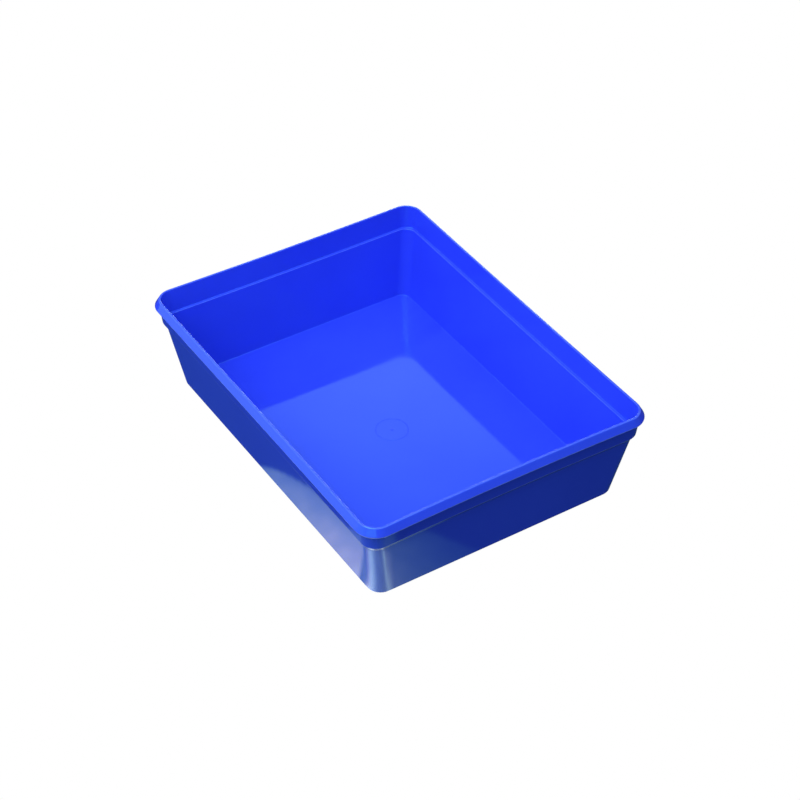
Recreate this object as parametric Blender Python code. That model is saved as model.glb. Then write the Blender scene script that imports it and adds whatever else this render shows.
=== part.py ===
"""Mud pan: a shallow rectangular tub for joint compound, moulded in one piece.

The whole pan is one plastic moulding, so it is one solid. Its skin is a stack of
rounded rectangles that follow one cross-section: from the middle of the underside,
out and up the outer wall, over the collar and the rim, and down the inner wall to
the gate mark in the middle of the floor.

Frame: the origin is at the centre of the underside, +X runs along the length,
+Y across the width and +Z up. Units are metres.
"""

import math

import bmesh
import bpy
from mathutils import Vector

# Overall size
LENGTH = 0.3563
WIDTH = 0.2703
HEIGHT = 0.0878

# Moulding thicknesses
WALL = 0.0022
FLOOR = 0.0020
RIM_TOP = 0.0016

# Outer wall. An inset is measured inwards from the outermost edge of the rim.
BASE_INSET = 0.0187
WALL_TOP_INSET = 0.0087
WALL_TOP_Z = 0.0603

# Collar that stands proud of the wall, so that stacked pans stop on it
COLLAR_LOW_INSET = 0.0058
COLLAR_LOW_Z = 0.0648
COLLAR_HIGH_INSET = 0.0036

# Sloping rim
RIM_EDGE_Z = 0.0809
RIM_SHOULDER_INSET = 0.0041

# Inner ledge behind the collar's step
LEDGE_Z = 0.0659
LEDGE_RISE = 0.0003

# Corner radii seen from above
RIM_CORNER = 0.0192
WALL_CORNER = 0.0121

# Fillets in the cross-section
BASE_FILLET = 0.0025
STEP_FILLET = 0.0020
RIM_EDGE_FILLET = 0.0010
RIM_SHOULDER_FILLET = 0.0013
RIM_INNER_FILLET = 0.0007
NOTCH_FILLET = 0.0005
LEDGE_FILLET = 0.0006
FLOOR_FILLET = 0.0016

# Plain ring and gate mark in the middle of the floor
RING_RADIUS = 0.0145
RING_WIDTH = 0.0012
RING_HEIGHT = 0.0003
GATE_RADIUS = 0.0020
GATE_HEIGHT = 0.0003
RELIEF_SLOPE = 0.0003

# Mesh resolution
ARC_STEPS = 4
CORNER_STEPS = 8
MERGE_DISTANCE = 1e-6
SMOOTH_ANGLE = math.radians(28)

# Plastic
PLASTIC_COLOUR = (0.010, 0.052, 0.720, 1.0)
PLASTIC_ROUGHNESS = 0.16
PLASTIC_IOR = 1.49


def clear_scene():
    """Remove every object of the scene."""
    for item in list(bpy.data.objects):
        bpy.data.objects.remove(item, do_unlink=True)


def wall_inset(z):
    """Inset of the outer wall's straight draft line at height z."""
    slope = (BASE_INSET - WALL_TOP_INSET) / WALL_TOP_Z
    return BASE_INSET - slope * z


def collar_inset(z):
    """Inset of the collar's outer draft line at height z."""
    slope = (COLLAR_LOW_INSET - COLLAR_HIGH_INSET) / (RIM_EDGE_Z - COLLAR_LOW_Z)
    return COLLAR_LOW_INSET - slope * (z - COLLAR_LOW_Z)


def filleted(corners):
    """Turn (inset, z, fillet radius) corners into points with round arcs."""
    points = []
    last = len(corners) - 1
    for index, (inset, z, radius) in enumerate(corners):
        corner = Vector((inset, z))
        if radius == 0.0 or index in (0, last):
            points.append(corner)
            continue
        before = Vector(corners[index - 1][:2]) - corner
        after = Vector(corners[index + 1][:2]) - corner
        half_angle = before.angle(after) / 2
        setback = radius / math.tan(half_angle)
        centre_distance = radius / math.sin(half_angle)
        centre = corner + (before.normalized() + after.normalized()).normalized() * centre_distance
        start = corner + before.normalized() * setback - centre
        sweep = start.angle_signed(corner + after.normalized() * setback - centre)
        for step in range(ARC_STEPS + 1):
            turn = -sweep * step / ARC_STEPS
            cos_turn = math.cos(turn)
            sin_turn = math.sin(turn)
            arm = Vector((
                start.x * cos_turn - start.y * sin_turn,
                start.x * sin_turn + start.y * cos_turn,
            ))
            points.append(centre + arm)
    return points


def outer_section():
    """Outer skin, from the flat underside up to the rim's top."""
    slope = Vector((RIM_SHOULDER_INSET, HEIGHT - RIM_EDGE_Z)).normalized()
    inward = Vector((slope.y, -slope.x))
    edge = Vector((0.0, RIM_EDGE_Z))
    tip = edge + inward * WALL
    notch_inset = collar_inset(RIM_EDGE_Z)
    notch = tip + slope * ((notch_inset - tip.x) / slope.x)
    return filleted([
        (BASE_INSET + 2 * BASE_FILLET, 0.0, 0.0),
        (BASE_INSET, 0.0, BASE_FILLET),
        (WALL_TOP_INSET, WALL_TOP_Z, STEP_FILLET),
        (COLLAR_LOW_INSET, COLLAR_LOW_Z, STEP_FILLET),
        (notch.x, notch.y, NOTCH_FILLET),
        (tip.x, tip.y, RIM_EDGE_FILLET),
        (edge.x, edge.y, RIM_EDGE_FILLET),
        (RIM_SHOULDER_INSET, HEIGHT, RIM_SHOULDER_FILLET),
        (RIM_SHOULDER_INSET + RIM_TOP / 2, HEIGHT, 0.0),
    ])


def inner_section():
    """Inner skin, from the rim's top down to the flat floor."""
    collar_z = LEDGE_Z + LEDGE_RISE
    return filleted([
        (RIM_SHOULDER_INSET + RIM_TOP / 2, HEIGHT, 0.0),
        (RIM_SHOULDER_INSET + RIM_TOP, HEIGHT, RIM_INNER_FILLET),
        (collar_inset(collar_z) + WALL, collar_z, LEDGE_FILLET),
        (wall_inset(LEDGE_Z) + WALL, LEDGE_Z, LEDGE_FILLET),
        (wall_inset(FLOOR) + WALL, FLOOR, FLOOR_FILLET),
        (wall_inset(FLOOR) + WALL + 2 * FLOOR_FILLET, FLOOR, 0.0),
    ])


def floor_relief():
    """(radius, z) circles of the low ring and the gate mark on the floor."""
    outer = RING_RADIUS
    inner = RING_RADIUS - RING_WIDTH
    return [
        (outer, FLOOR),
        (outer - RELIEF_SLOPE, FLOOR + RING_HEIGHT),
        (inner + RELIEF_SLOPE, FLOOR + RING_HEIGHT),
        (inner, FLOOR),
        (GATE_RADIUS, FLOOR),
        (GATE_RADIUS - RELIEF_SLOPE, FLOOR + GATE_HEIGHT),
    ]


def rounded_rectangle(half_x, half_y, corner, z):
    """Points of a rounded rectangle at height z, anticlockwise from +X."""
    points = []
    for quarter, (side_x, side_y) in enumerate(((1, 1), (-1, 1), (-1, -1), (1, -1))):
        centre_x = side_x * (half_x - corner)
        centre_y = side_y * (half_y - corner)
        for step in range(CORNER_STEPS + 1):
            angle = math.pi / 2 * (quarter + step / CORNER_STEPS)
            x = centre_x + corner * math.cos(angle)
            y = centre_y + corner * math.sin(angle)
            points.append((x, y, z))
    return points


def section_loop(point, least_corner):
    """Rounded rectangle through one point of the cross-section."""
    corner = max(RIM_CORNER - point.x, least_corner)
    return rounded_rectangle(LENGTH / 2 - point.x, WIDTH / 2 - point.x, corner, point.y)


def pan_mesh():
    """Skin the stack of rounded rectangles into one closed mesh."""
    loops = [section_loop(point, WALL_CORNER) for point in outer_section()]
    loops += [section_loop(point, WALL_CORNER - WALL) for point in inner_section()[1:]]
    loops += [rounded_rectangle(radius, radius, radius, z) for radius, z in floor_relief()]

    shape = bmesh.new()
    rows = [[shape.verts.new(co) for co in loop] for loop in loops]
    count = len(rows[0])
    for low, high in zip(rows, rows[1:]):
        for index in range(count):
            after = (index + 1) % count
            shape.faces.new((low[index], low[after], high[after], high[index]))
    shape.faces.new(list(reversed(rows[0])))
    shape.faces.new(rows[-1])
    bmesh.ops.remove_doubles(shape, verts=shape.verts, dist=MERGE_DISTANCE)
    bmesh.ops.recalc_face_normals(shape, faces=shape.faces)

    mesh = bpy.data.meshes.new("pan_shell")
    shape.to_mesh(mesh)
    shape.free()
    mesh.shade_smooth()
    mesh.set_sharp_from_angle(angle=SMOOTH_ANGLE)
    return mesh


def blue_plastic():
    """Glossy blue injection-moulded plastic."""
    material = bpy.data.materials.new("blue_plastic")
    material.use_nodes = True
    shader = material.node_tree.nodes["Principled BSDF"]
    shader.inputs["Base Color"].default_value = PLASTIC_COLOUR
    shader.inputs["Roughness"].default_value = PLASTIC_ROUGHNESS
    shader.inputs["Metallic"].default_value = 0.0
    shader.inputs["IOR"].default_value = PLASTIC_IOR
    return material


def build():
    """Make the pan."""
    clear_scene()
    pan = bpy.data.objects.new("pan_shell", pan_mesh())
    pan.data.materials.append(blue_plastic())
    bpy.context.scene.collection.objects.link(pan)


build()
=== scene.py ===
"""Looks of the mud pan: a fine skin for the moulding, its glossy blue plastic and the studio.

The pan is one moulding, so one piece, pan_skin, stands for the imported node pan_shell.
Metres, +Z up, the origin at the centre of the underside, +X along the length.
"""

import math

import bmesh
import bpy
from mathutils import Matrix, Vector, noise


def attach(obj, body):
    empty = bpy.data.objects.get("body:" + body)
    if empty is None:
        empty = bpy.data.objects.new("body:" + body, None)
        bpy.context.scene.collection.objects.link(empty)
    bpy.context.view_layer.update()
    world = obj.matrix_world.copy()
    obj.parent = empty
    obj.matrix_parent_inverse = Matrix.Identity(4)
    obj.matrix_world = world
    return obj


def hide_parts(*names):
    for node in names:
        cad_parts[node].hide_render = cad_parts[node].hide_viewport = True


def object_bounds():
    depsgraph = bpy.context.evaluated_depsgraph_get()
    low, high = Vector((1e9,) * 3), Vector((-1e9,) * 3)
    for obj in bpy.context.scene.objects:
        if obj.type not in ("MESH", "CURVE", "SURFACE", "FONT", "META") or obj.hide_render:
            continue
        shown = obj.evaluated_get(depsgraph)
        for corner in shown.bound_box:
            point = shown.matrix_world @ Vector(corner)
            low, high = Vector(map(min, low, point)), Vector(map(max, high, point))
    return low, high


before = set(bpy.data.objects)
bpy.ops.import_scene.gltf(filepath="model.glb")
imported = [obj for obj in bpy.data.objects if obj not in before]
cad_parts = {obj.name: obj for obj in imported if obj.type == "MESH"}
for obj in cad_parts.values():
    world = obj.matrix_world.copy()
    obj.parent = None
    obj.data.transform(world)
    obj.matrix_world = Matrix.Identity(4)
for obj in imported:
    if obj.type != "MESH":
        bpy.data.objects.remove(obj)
CAD_LOW, CAD_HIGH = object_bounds()

# Moulding thicknesses
WALL = 0.0022
FLOOR = 0.0020
RIM_TOP = 0.0016

# Outer wall. An inset is measured inwards from the sharp edge of the rim.
BASE_INSET = 0.0187
WALL_TOP_INSET = 0.0087
WALL_TOP_Z = 0.0603

# Collar and rim
COLLAR_LOW_INSET = 0.0058
COLLAR_LOW_Z = 0.0648
COLLAR_HIGH_INSET = 0.0036
RIM_EDGE_Z = 0.0809
RIM_SHOULDER_INSET = 0.0041

# Inner ledge
LEDGE_Z = 0.0659
LEDGE_RISE = 0.0003

# Corner radii seen from above
RIM_CORNER = 0.0192
WALL_CORNER = 0.0121

# Fillets in the cross-section
BASE_FILLET = 0.0025
STEP_FILLET = 0.0020
RIM_EDGE_FILLET = 0.0010
RIM_SHOULDER_FILLET = 0.0016
RIM_INNER_FILLET = 0.0007
NOTCH_FILLET = 0.0005
LEDGE_FILLET = 0.0006
FLOOR_FILLET = 0.0007

# Ring and gate mark on the floor, gate dimple under it
RING_RADIUS = 0.0145
RING_WIDTH = 0.0012
RING_HEIGHT = 0.00012
GATE_RADIUS = 0.0020
GATE_HEIGHT = 0.0002
DIMPLE_RADIUS = 0.0090
DIMPLE_DEPTH = 0.0004

# How far the middle of each side leans in at the top: +X, +Y, -X, -Y
SIDE_BOWS = (0.0019, 0.0005, 0.0011, 0.0002)

# How far the middle of the floor is crowned upwards
CROWN = 0.0014

# Mesh resolution and tolerances
ARC_STEPS = 8
CORNER_STEPS = 32
SIDE_STEPS = 20
RELIEF_STEPS = 8
FLOOR_STEPS = 20
MERGE_DISTANCE = 1e-6
BOX_MARGIN = 1e-7

# Camera
CAMERA_AZIMUTH = math.radians(57.11)
CAMERA_ELEVATION = math.radians(39.96)
CAMERA_ROLL = math.radians(0.42)
CAMERA_DISTANCE = 1.7731
CAMERA_TARGET = Vector((0.0103, 0.0013, 0.0428))
CAMERA_LENS = 95.62
SENSOR_WIDTH = 36.0

# Plastic
PLASTIC_COLOUR = (0.021, 0.051, 0.770)
PLASTIC_SHADE = (0.018, 0.043, 0.720)
# Lighter blue on the edge fillets: partly wear, partly a painted highlight along the lip and step edges
PLASTIC_WORN_HIGHLIGHT = (0.170, 0.290, 0.950)
PLASTIC_IOR = 1.49
PLASTIC_TINT = (0.2, 1.0, 1.0)
ROUGHNESS_LOW = 0.045
ROUGHNESS_HIGH = 0.085
CLOUD_SCALE = 9.0
PEEL_SCALE = 160.0
GRAIN_SCALE = 2600.0
SCUFF_SCALE = (30.0, 900.0, 30.0)
SCUFF_TURN = (0.0, 0.0, 0.6)
SCUFF_ROUGHNESS = 0.05

# Share of worn colour along the edges of the section: partly wear, partly a painted highlight on the
# edge fillets
BASE_WEAR_HIGHLIGHT = 0.35
STEP_WEAR_HIGHLIGHT = 0.75
LIP_WEAR_HIGHLIGHT = 0.65
RIM_WEAR_HIGHLIGHT = 0.22

# Studio: softboxes as name, azimuth, elevation (degrees), distance, width, height, radiance
SOFTBOXES = (
    ("key", 283.0, 58.0, 2.0, 1.35, 1.35, 5.0),
    ("front_fill", 250.0, 15.0, 2.0, 2.60, 1.00, 1.25),
    ("back_strip", 143.0, 10.0, 2.0, 1.30, 0.42, 8.0),
    ("camera_fill", 309.0, 21.0, 2.0, 1.50, 0.50, 1.5),
    ("top", 0.0, 88.0, 2.2, 1.80, 1.80, 1.0),
)
SKY_HORIZON = 0.25
SKY_TOP = 0.90
SKY_FULL_HEIGHT = 0.95
LOBE_AZIMUTH = 148.0
LOBE_ELEVATION = 33.0
LOBE_REACH = 12.5
LOBE_GLOW = 0.8
BACKDROP_RADIUS = 9.0
BOUNCE = 0.08
BOUNCE_Z = -0.0006
FLOOR_Z = -0.0012
FLOOR_REACH = 6.0
PATCH_STEP = 0.0025
PATCH_LOW = Vector((-0.30, -0.34))
PATCH_HIGH = Vector((0.50, 0.30))

# Reflection cards on the bounce floor beside the pan, with the pan's shadow on the table painted in as
# dim bands and pools of light as bright ones: metres, degrees and radiance
# Radiance of the pan's painted shadow on the cards
SHADE = 0.08
RED_BASE = 0.30
RED_GAIN = 0.60
RED_LIMIT = 0.95
CARD_END = 1.2
CARD_GRAIN = 0.12
CARD_GRAIN_SCALE = 90.0
CARD_SPLIT = -60.0
PAN_END_X = 0.160
PAN_SIDE_Y = -0.117
LEFT_EDGE = -0.022
LEFT_LEAN = 1.0
LEFT_CURVE = 85.0
LEFT_SOFT = 0.004
LEFT_NEAR = 0.52
LEFT_RISE = 5.0
LEFT_BRIGHTEST = 1.4
LEFT_END = (-0.26, -0.20)
RIGHT_EDGE = -0.019
RIGHT_LEAN = 0.8
RIGHT_SOFT = 0.005
RIGHT_NEAR = 0.80
RIGHT_START = -0.090
RIGHT_FADE = 0.050
RIGHT_STRIP = (0.190, 0.205)
RIGHT_END = (0.32, 0.44)
CORNER = Vector((0.147, -0.105))
CORNER_REACH = 0.056
CORNER_BASE = 0.5
CORNER_LEFT = -138.0
CORNER_RIGHT = 29.0
CORNER_SOFT = 3.0
CORNER_FADE = 0.8

# Streaks that fan out from under the near corner, painted wedges of light and of the pan's shadow on the
# table: azimuth, width (degrees), radiance
STREAKS = ((-71.0, 27.0, 3.2), (-20.0, 20.0, 0.8), (10.0, 13.0, 2.0))


def mix(first, second, share):
    """Value between two others."""
    return first + (second - first) * share


def wall_inset(z):
    """Inset of the outer wall's straight draft line at height z."""
    slope = (BASE_INSET - WALL_TOP_INSET) / WALL_TOP_Z
    return BASE_INSET - slope * z


def collar_inset(z):
    """Inset of the collar's outer draft line at height z."""
    slope = (COLLAR_LOW_INSET - COLLAR_HIGH_INSET) / (RIM_EDGE_Z - COLLAR_LOW_Z)
    return COLLAR_LOW_INSET - slope * (z - COLLAR_LOW_Z)


def filleted(corners):
    """Turn (inset, z, fillet radius, wear and painted highlight) corners into (inset, z, wear and
    painted highlight) points with arcs.
    """
    points = []
    last = len(corners) - 1
    for index, (inset, z, radius, wear_and_highlight) in enumerate(corners):
        corner = Vector((inset, z))
        if radius == 0.0 or index in (0, last):
            points.append(Vector((inset, z, 0.0)))
            continue
        before = (Vector(corners[index - 1][:2]) - corner).normalized()
        after = (Vector(corners[index + 1][:2]) - corner).normalized()
        half_angle = before.angle(after) / 2
        setback = radius / math.tan(half_angle)
        centre = corner + (before + after).normalized() * radius / math.sin(half_angle)
        start = corner + before * setback - centre
        sweep = -start.angle_signed(corner + after * setback - centre)
        for step in range(ARC_STEPS + 1):
            share = step / ARC_STEPS
            point = centre + Matrix.Rotation(sweep * share, 2) @ start
            points.append(Vector((point.x, point.y, wear_and_highlight * math.sin(math.pi * share))))
    return points


def outer_section(height):
    """Outer skin, from the flat underside up to the rim's top."""
    slope = Vector((RIM_SHOULDER_INSET, height - RIM_EDGE_Z)).normalized()
    inward = Vector((slope.y, -slope.x))
    edge = Vector((0.0, RIM_EDGE_Z))
    tip = edge + inward * WALL
    notch = tip + slope * ((collar_inset(RIM_EDGE_Z) - tip.x) / slope.x)
    return filleted([
        (BASE_INSET + 2 * BASE_FILLET, 0.0, 0.0, 0.0),
        (BASE_INSET, 0.0, BASE_FILLET, BASE_WEAR_HIGHLIGHT),
        (WALL_TOP_INSET, WALL_TOP_Z, STEP_FILLET, 0.0),
        (COLLAR_LOW_INSET, COLLAR_LOW_Z, STEP_FILLET, STEP_WEAR_HIGHLIGHT),
        (notch.x, notch.y, NOTCH_FILLET, 0.0),
        (tip.x, tip.y, RIM_EDGE_FILLET, LIP_WEAR_HIGHLIGHT),
        (edge.x, edge.y, RIM_EDGE_FILLET, LIP_WEAR_HIGHLIGHT),
        (RIM_SHOULDER_INSET, height, RIM_SHOULDER_FILLET, RIM_WEAR_HIGHLIGHT),
        (RIM_SHOULDER_INSET + RIM_TOP / 2, height, 0.0, 0.0),
    ])


def inner_section(height):
    """Inner skin, from the rim's top down to the flat floor."""
    collar_z = LEDGE_Z + LEDGE_RISE
    return filleted([
        (RIM_SHOULDER_INSET + RIM_TOP / 2, height, 0.0, 0.0),
        (RIM_SHOULDER_INSET + RIM_TOP, height, RIM_INNER_FILLET, RIM_WEAR_HIGHLIGHT),
        (collar_inset(collar_z) + WALL, collar_z, LEDGE_FILLET, 0.0),
        (wall_inset(LEDGE_Z) + WALL, LEDGE_Z, LEDGE_FILLET, RIM_WEAR_HIGHLIGHT),
        (wall_inset(FLOOR) + WALL, FLOOR, FLOOR_FILLET, 0.0),
        (wall_inset(FLOOR) + WALL + 2 * FLOOR_FILLET, FLOOR, 0.0, 0.0),
    ])


def bead(centre_radius, width, z, height):
    """(radius, z) circles across one smooth raised bead, from outside in."""
    circles = []
    for step in range(RELIEF_STEPS + 1):
        share = step / RELIEF_STEPS
        radius = centre_radius + width * (0.5 - share)
        circles.append((radius, z + height * math.sin(math.pi * share) ** 2))
    return circles


def floor_relief():
    """(radius, z) circles of the low ring and the gate mark on the floor."""
    circles = bead(RING_RADIUS - RING_WIDTH / 2, RING_WIDTH, FLOOR, RING_HEIGHT)
    for step in range(RELIEF_STEPS):
        share = step / RELIEF_STEPS
        rise = GATE_HEIGHT * (0.5 - 0.5 * math.cos(math.pi * share))
        circles.append((GATE_RADIUS * (1.05 - share), FLOOR + rise))
    return circles


def underside_relief():
    """(radius, z) circles of the shallow gate dimple under the floor."""
    circles = []
    for step in range(RELIEF_STEPS + 1):
        share = step / RELIEF_STEPS
        depth = DIMPLE_DEPTH * (0.5 + 0.5 * math.cos(math.pi * share))
        circles.append((DIMPLE_RADIUS * (0.8 + 0.2 * share), depth))
    return circles


def crown(x, y, half_x, half_y):
    """Rise of the crowned floor at one point."""
    across_x = 1 - (x / half_x) ** 2
    across_y = 1 - (y / half_y) ** 2
    return CROWN * max(across_x, 0.0) * max(across_y, 0.0)


def crowned(edge, circle, half_x, half_y):
    """Loops from a flat rounded edge in to a circle, then the crown added to each."""
    loops = []
    for step in range(1, FLOOR_STEPS):
        share = step / FLOOR_STEPS
        loop = []
        for outer, inner in zip(edge, circle):
            x = mix(outer[0], inner[0], share)
            y = mix(outer[1], inner[1], share)
            loop.append((x, y, outer[2] + crown(x, y, half_x, half_y)))
        loops.append(loop)
    return loops


def lifted(circles, half_x, half_y):
    """Circles of a relief as loops that follow the crowned floor."""
    loops = []
    for radius, z in circles:
        circle = rounded_rectangle(radius, radius, radius, z)
        loops.append([(x, y, z + crown(x, y, half_x, half_y)) for x, y, z in circle])
    return loops


def rounded_rectangle(half_x, half_y, corner, z, lean=0.0):
    """Points of a rounded rectangle at height z, anticlockwise from the +X side.

    Each straight side bows inwards by its share of SIDE_BOWS times lean.
    """
    points = []
    for quarter, bow in enumerate(SIDE_BOWS):
        turn = Matrix.Rotation(math.pi / 2 * quarter, 2)
        reach, half = ((half_x, half_y), (half_y, half_x))[quarter % 2]
        for step in range(1, SIDE_STEPS):
            along = 2 * step / SIDE_STEPS - 1
            inward = bow * lean * (1 - along * along)
            points.append(turn @ Vector((reach - inward, along * (half - corner))))
        centre = Vector((reach - corner, half - corner))
        for step in range(CORNER_STEPS + 1):
            angle = math.pi / 2 * step / CORNER_STEPS
            arm = corner * Vector((math.cos(angle), math.sin(angle)))
            points.append(turn @ (centre + arm))
    return [(point.x, point.y, z) for point in points]


def skin_loops():
    """Every (loop, wear and painted highlight) of the skin, from the middle of the underside to the gate
    mark.
    """
    height = CAD_HIGH.z
    outer = outer_section(height)
    inner = inner_section(height)[1:]
    edge_inset = min(point.x for point in outer)
    half_x = CAD_HIGH.x + edge_inset - BOX_MARGIN
    half_y = CAD_HIGH.y + edge_inset - BOX_MARGIN
    base = outer[0].x
    loops = lifted(underside_relief(), half_x - base, half_y - base)
    edge = rounded_rectangle(half_x - base, half_y - base, WALL_CORNER - 2 * BASE_FILLET, 0.0)
    loops += reversed(crowned(edge, loops[-1], half_x - base, half_y - base))
    wear_and_highlight = {}
    for section, least_corner in ((outer, WALL_CORNER), (inner, WALL_CORNER - WALL)):
        for point in section:
            corner = max(RIM_CORNER - point.x, least_corner)
            size = (half_x - point.x, half_y - point.x, corner)
            loops.append(rounded_rectangle(*size, point.y, point.y / height))
            wear_and_highlight[len(loops) - 1] = point.z
    base = inner[-1].x
    relief = lifted(floor_relief(), half_x - base, half_y - base)
    loops += crowned(loops[-1], relief[0], half_x - base, half_y - base)
    return [(loop, wear_and_highlight.get(index, 0.0)) for index, loop in enumerate(loops + relief)]


def make_skin():
    """Skin the loops into one closed mesh with flat faces that shade flat."""
    shape = bmesh.new()
    # Per-vertex share of the lighter edge colour: partly wear, partly painted highlight
    layer = shape.verts.layers.float.new("edge_wear_and_highlight")
    rows = []
    for loop, wear_and_highlight in skin_loops():
        rows.append([shape.verts.new(co) for co in loop])
        for vertex in rows[-1]:
            vertex[layer] = wear_and_highlight
    count = len(rows[0])
    for low, high in zip(rows, rows[1:]):
        for index in range(count):
            after = (index + 1) % count
            shape.faces.new((low[index], low[after], high[after], high[index]))
    shape.faces.new(list(reversed(rows[0])))
    shape.faces.new(rows[-1])
    bmesh.ops.remove_doubles(shape, verts=shape.verts, dist=MERGE_DISTANCE)
    bmesh.ops.recalc_face_normals(shape, faces=shape.faces)

    mesh = bpy.data.meshes.new("pan_skin")
    shape.to_mesh(mesh)
    shape.free()
    mesh.shade_smooth()
    skin = bpy.data.objects.new("pan_skin", mesh)
    bpy.context.scene.collection.objects.link(skin)
    weighted = skin.modifiers.new("flat_faces", "WEIGHTED_NORMAL")
    weighted.weight = 100
    return skin


def node(tree, kind, **inputs):
    """Add a shader node and set its inputs; a socket as value makes a link."""
    item = tree.nodes.new(kind)
    for name, value in inputs.items():
        socket = item.inputs[name.replace("_", " ")]
        if isinstance(value, bpy.types.NodeSocket):
            tree.links.new(value, socket)
        else:
            socket.default_value = value
    return item


def remap(tree, value, low, high, to_low, to_high):
    """Smooth map of a value from one range to another."""
    item = node(tree, "ShaderNodeMapRange", Value=value)
    item.interpolation_type = "SMOOTHSTEP"
    item.inputs["From Min"].default_value = low
    item.inputs["From Max"].default_value = high
    item.inputs["To Min"].default_value = to_low
    item.inputs["To Max"].default_value = to_high
    return item.outputs["Result"]


def blue_plastic():
    """Polished blue plastic with a faint flow grain, fine scuffs and rubbed edges, whose lighter edge
    colour is partly a painted highlight.
    """
    material = bpy.data.materials.new("blue_plastic")
    material.use_nodes = True
    tree = material.node_tree
    shader = tree.nodes["Principled BSDF"]
    shader.inputs["IOR"].default_value = PLASTIC_IOR
    shader.inputs["Specular Tint"].default_value = (*PLASTIC_TINT, 1.0)

    place = node(tree, "ShaderNodeTexCoord").outputs["Object"]
    clouds = node(tree, "ShaderNodeTexNoise", Vector=place, Scale=CLOUD_SCALE, Detail=4.0).outputs["Fac"]
    peel = node(tree, "ShaderNodeTexNoise", Vector=place, Scale=PEEL_SCALE, Detail=2.0).outputs["Fac"]
    grain = node(tree, "ShaderNodeTexNoise", Vector=place, Scale=GRAIN_SCALE, Detail=2.0).outputs["Fac"]
    stretch = node(tree, "ShaderNodeMapping", Vector=place, Scale=SCUFF_SCALE, Rotation=SCUFF_TURN)
    streaky = stretch.outputs["Vector"]
    scuffs = node(tree, "ShaderNodeTexNoise", Vector=streaky, Scale=1.0, Detail=3.0).outputs["Fac"]
    # Lighter edge colour: partly wear, partly a painted highlight on the edge fillets
    wear_and_highlight_attribute = tree.nodes.new("ShaderNodeAttribute")
    wear_and_highlight_attribute.attribute_name = "edge_wear_and_highlight"
    wear_and_highlight = tree.nodes.new("ShaderNodeMath")
    wear_and_highlight.operation = "MULTIPLY"
    tree.links.new(wear_and_highlight_attribute.outputs["Fac"], wear_and_highlight.inputs[0])
    tree.links.new(remap(tree, peel, 0.3, 0.6, 0.6, 1.0), wear_and_highlight.inputs[1])

    colour = node(tree, "ShaderNodeMix")
    colour.data_type = "RGBA"
    colour.inputs[6].default_value = (*PLASTIC_SHADE, 1.0)
    colour.inputs[7].default_value = (*PLASTIC_COLOUR, 1.0)
    tree.links.new(remap(tree, clouds, 0.35, 0.65, 0.3, 1.0), colour.inputs[0])
    worn_and_highlight_colour = node(tree, "ShaderNodeMix")
    worn_and_highlight_colour.data_type = "RGBA"
    worn_and_highlight_colour.inputs[7].default_value = (*PLASTIC_WORN_HIGHLIGHT, 1.0)
    tree.links.new(wear_and_highlight.outputs[0], worn_and_highlight_colour.inputs[0])
    tree.links.new(colour.outputs[2], worn_and_highlight_colour.inputs[6])
    tree.links.new(worn_and_highlight_colour.outputs[2], shader.inputs["Base Color"])

    smooth = remap(tree, clouds, 0.3, 0.7, ROUGHNESS_LOW, ROUGHNESS_HIGH)
    rough = node(tree, "ShaderNodeMath")
    rough.operation = "ADD"
    tree.links.new(smooth, rough.inputs[0])
    tree.links.new(remap(tree, scuffs, 0.62, 0.78, 0.0, SCUFF_ROUGHNESS), rough.inputs[1])
    tree.links.new(rough.outputs[0], shader.inputs["Roughness"])

    skin = node(tree, "ShaderNodeBump", Height=peel, Strength=0.05, Distance=0.0002)
    coarse = skin.outputs["Normal"]
    fine = node(tree, "ShaderNodeBump", Height=grain, Strength=0.03, Distance=0.00002, Normal=coarse)
    tree.links.new(fine.outputs["Normal"], shader.inputs["Normal"])
    return material


def glow_material(name, strength, attribute=None):
    """Surface of the studio that glows white, or in the colour of a mesh attribute."""
    material = bpy.data.materials.new(name)
    material.use_nodes = True
    tree = material.node_tree
    tree.nodes.clear()
    glow = node(tree, "ShaderNodeEmission", Strength=strength)
    if attribute:
        source = tree.nodes.new("ShaderNodeAttribute")
        source.attribute_name = attribute
        tree.links.new(source.outputs["Color"], glow.inputs["Color"])
    node(tree, "ShaderNodeOutputMaterial", Surface=glow.outputs["Emission"])
    return material


def stage_mesh(name, points, faces, material):
    """Mesh of the studio."""
    mesh = bpy.data.meshes.new(name)
    mesh.from_pydata(points, [], faces)
    mesh.materials.append(material)
    item = bpy.data.objects.new(name, mesh)
    bpy.context.scene.collection.objects.link(item)
    return item


def direction(azimuth, elevation):
    """Unit vector from the pan, azimuth anticlockwise from +X."""
    turn = math.radians(azimuth)
    rise = math.radians(elevation)
    return Vector((math.cos(turn) * math.cos(rise), math.sin(turn) * math.cos(rise), math.sin(rise)))


def softbox(name, azimuth, elevation, distance, width, height, radiance):
    """Area light in a direction from the pan, facing it."""
    data = bpy.data.lights.new(name, "AREA")
    data.shape = "RECTANGLE"
    data.size = width
    data.size_y = height
    data.energy = radiance * width * height * math.pi
    away = direction(azimuth, elevation)
    item = bpy.data.objects.new(name, data)
    item.location = away * distance
    item.rotation_mode = "QUATERNION"
    item.rotation_quaternion = (-away).to_track_quat("-Z", "Y")
    item.visible_camera = False
    bpy.context.scene.collection.objects.link(item)
    return item


def blend(low, high, value):
    """Smooth step from 0 at low to 1 at high."""
    share = min(max((value - low) / (high - low), 0.0), 1.0)
    return share * share * (3 - 2 * share)


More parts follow.
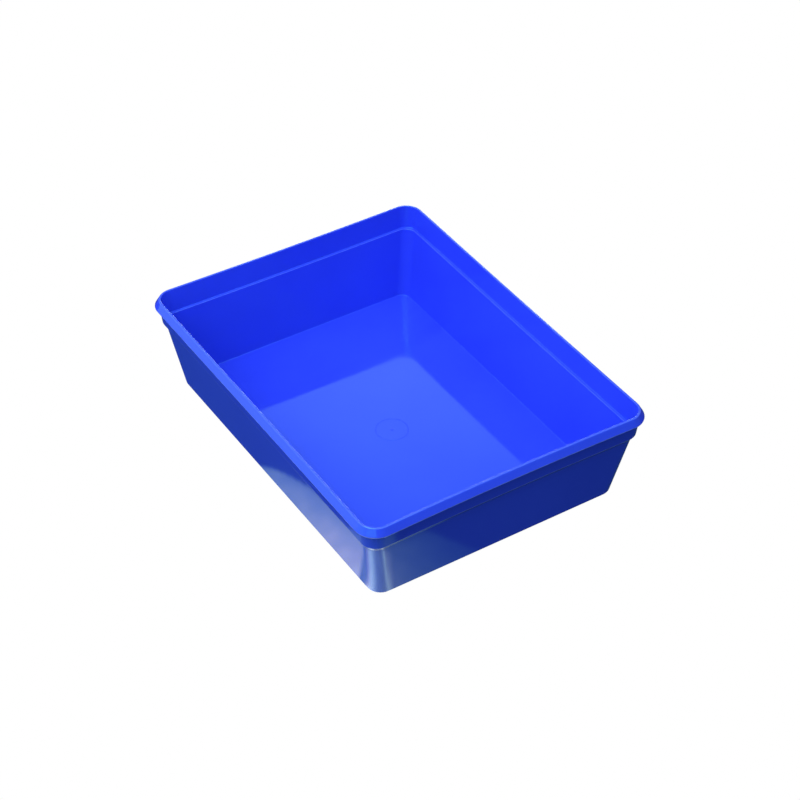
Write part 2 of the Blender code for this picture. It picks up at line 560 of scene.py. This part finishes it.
def left_glow(x, y):
    """Radiance of the card beside the long near side: the pan's painted shadow, then a bright wedge of
    painted light past a curved edge.
    """
    out = PAN_SIDE_Y - y
    edge = LEFT_EDGE + (LEFT_LEAN + LEFT_CURVE * max(out, 0.0)) * out
    near = min(LEFT_NEAR + LEFT_RISE * max(x - edge, 0.0), LEFT_BRIGHTEST)
    left = mix(SHADE, near, blend(edge - LEFT_SOFT, edge + LEFT_SOFT, x))
    return mix(CARD_END, left, blend(*LEFT_END, y))


def right_glow(x, y):
    """Radiance of the card beside the short near side: a strip of painted light that fades away, then
    the pan's painted shadow.
    """
    right = RIGHT_NEAR * math.exp((RIGHT_START - y) / RIGHT_FADE)
    edge = RIGHT_EDGE - RIGHT_LEAN * (x - PAN_END_X)
    right = mix(right, SHADE, blend(edge - RIGHT_SOFT, edge + RIGHT_SOFT, y))
    right = mix(right, SHADE, blend(*RIGHT_STRIP, x))
    return mix(right, CARD_END, blend(*RIGHT_END, x))


def corner_glow(spin, distance):
    """Radiance of the streaks that fan out from the near corner."""
    fan = CORNER_BASE
    for azimuth, width, radiance in STREAKS:
        fan += radiance * math.exp(-((spin - azimuth) / width) ** 2)
    fan = mix(fan, CORNER_BASE, blend(CORNER_FADE * CORNER_REACH, CORNER_REACH, distance))
    return mix(fan, SHADE, blend(CORNER_REACH, 2.0 * CORNER_REACH, distance))


def bounce_glow(x, y):
    """Radiance of the cards: the pan's painted shadow beside two of its sides, painted light at their
    corner.
    """
    away = Vector((x, y)) - CORNER
    spin = math.degrees(math.atan2(away.y, away.x))
    inside = blend(CORNER_LEFT - CORNER_SOFT, CORNER_LEFT + CORNER_SOFT, spin)
    inside *= blend(CORNER_RIGHT + CORNER_SOFT, CORNER_RIGHT - CORNER_SOFT, spin)
    side = right_glow(x, y) if spin > CARD_SPLIT else left_glow(x, y)
    glow = mix(side, corner_glow(spin, away.length), inside)
    return glow * (1 + CARD_GRAIN * noise.noise(Vector((x, y, 0.0)) * CARD_GRAIN_SCALE))


def bounce_colour(x, y):
    """Colour of the cards, bluer where they are dim, beside the blue pan: painted blue bounce light from
    the pan.
    """
    glow = bounce_glow(x, y)
    red = min(RED_BASE + RED_GAIN * glow, RED_LIMIT)
    return (glow * red, glow, glow, 1.0)


def bounce_floor():
    """Glowing floor under the pan that only its plastic sees."""
    count_x = round((PATCH_HIGH.x - PATCH_LOW.x) / PATCH_STEP) + 1
    count_y = round((PATCH_HIGH.y - PATCH_LOW.y) / PATCH_STEP) + 1
    points = []
    faces = []
    for row in range(count_y):
        for column in range(count_x):
            points.append((PATCH_LOW.x + column * PATCH_STEP, PATCH_LOW.y + row * PATCH_STEP, BOUNCE_Z))
            if row and column:
                here = row * count_x + column
                faces.append((here - count_x - 1, here - count_x, here, here - 1))
    patch = stage_mesh("bounce_patch", points, faces, glow_material("bounce_patch", 1.0, "glow"))
    glow = patch.data.attributes.new("glow", "FLOAT_COLOR", "POINT")
    glow.data.foreach_set("color", [part for x, y, z in points for part in bounce_colour(x, y)])
    patch.visible_camera = False
    patch.visible_diffuse = False
    wide = plane("bounce_wide", BOUNCE_Z - 0.0002, glow_material("bounce_wide", BOUNCE))
    wide.visible_camera = False


def plane(name, z, material):
    """Square of the studio at height z."""
    reach = FLOOR_REACH
    points = [(-reach, -reach, z), (reach, -reach, z), (reach, reach, z), (-reach, reach, z)]
    return stage_mesh(name, points, [(0, 1, 2, 3)], material)


def backdrop(material):
    """White dome that closes the view behind the floor."""
    shape = bmesh.new()
    bmesh.ops.create_icosphere(shape, subdivisions=4, radius=BACKDROP_RADIUS)
    mesh = bpy.data.meshes.new("backdrop")
    shape.to_mesh(mesh)
    shape.free()
    mesh.materials.append(material)
    dome = bpy.data.objects.new("backdrop", mesh)
    bpy.context.scene.collection.objects.link(dome)
    return dome


def studio():
    """White floor, white surroundings and soft lights."""
    world = bpy.data.worlds.new("studio")
    world.use_nodes = True
    tree = world.node_tree
    background = tree.nodes["Background"]
    background.inputs["Color"].default_value = (1.0, 1.0, 1.0, 1.0)
    ray = node(tree, "ShaderNodeTexCoord").outputs["Generated"]
    up = node(tree, "ShaderNodeSeparateXYZ", Vector=ray).outputs["Z"]
    lobe = tree.nodes.new("ShaderNodeVectorMath")
    lobe.operation = "DOT_PRODUCT"
    tree.links.new(ray, lobe.inputs[0])
    lobe.inputs[1].default_value = direction(LOBE_AZIMUTH, LOBE_ELEVATION)
    edge = math.cos(math.radians(LOBE_REACH))
    total = tree.nodes.new("ShaderNodeMath")
    tree.links.new(remap(tree, up, 0.0, SKY_FULL_HEIGHT, SKY_HORIZON, SKY_TOP), total.inputs[0])
    tree.links.new(remap(tree, lobe.outputs["Value"], edge, 1.0, 0.0, LOBE_GLOW), total.inputs[1])
    tree.links.new(total.outputs[0], background.inputs["Strength"])
    bpy.context.scene.world = world
    white = glow_material("white_paper", 1.0)
    for item in (plane("floor", FLOOR_Z, white), backdrop(white)):
        item.visible_diffuse = False
        item.visible_glossy = False
        item.visible_shadow = False
    bounce_floor()
    for box in SOFTBOXES:
        softbox(*box)


def make_camera():
    """Camera at the viewing angle of the reference, with a long lens."""
    back = Vector((
        math.sin(CAMERA_AZIMUTH) * math.cos(CAMERA_ELEVATION),
        -math.cos(CAMERA_AZIMUTH) * math.cos(CAMERA_ELEVATION),
        math.sin(CAMERA_ELEVATION),
    ))
    data = bpy.data.cameras.new("camera")
    data.lens = CAMERA_LENS
    data.sensor_width = SENSOR_WIDTH
    camera = bpy.data.objects.new("camera", data)
    camera.location = CAMERA_TARGET + back * CAMERA_DISTANCE
    look = (-back).to_track_quat("-Z", "Y").to_matrix().to_4x4()
    camera.rotation_mode = "QUATERNION"
    camera.rotation_quaternion = (look @ Matrix.Rotation(CAMERA_ROLL, 4, "Z")).to_quaternion()
    bpy.context.scene.collection.objects.link(camera)
    bpy.context.scene.camera = camera


bpy.context.scene.view_settings.view_transform = "Standard"
make_camera()
pan = make_skin()
pan.data.materials.append(blue_plastic())
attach(pan, "root")
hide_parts("pan_shell")
studio()
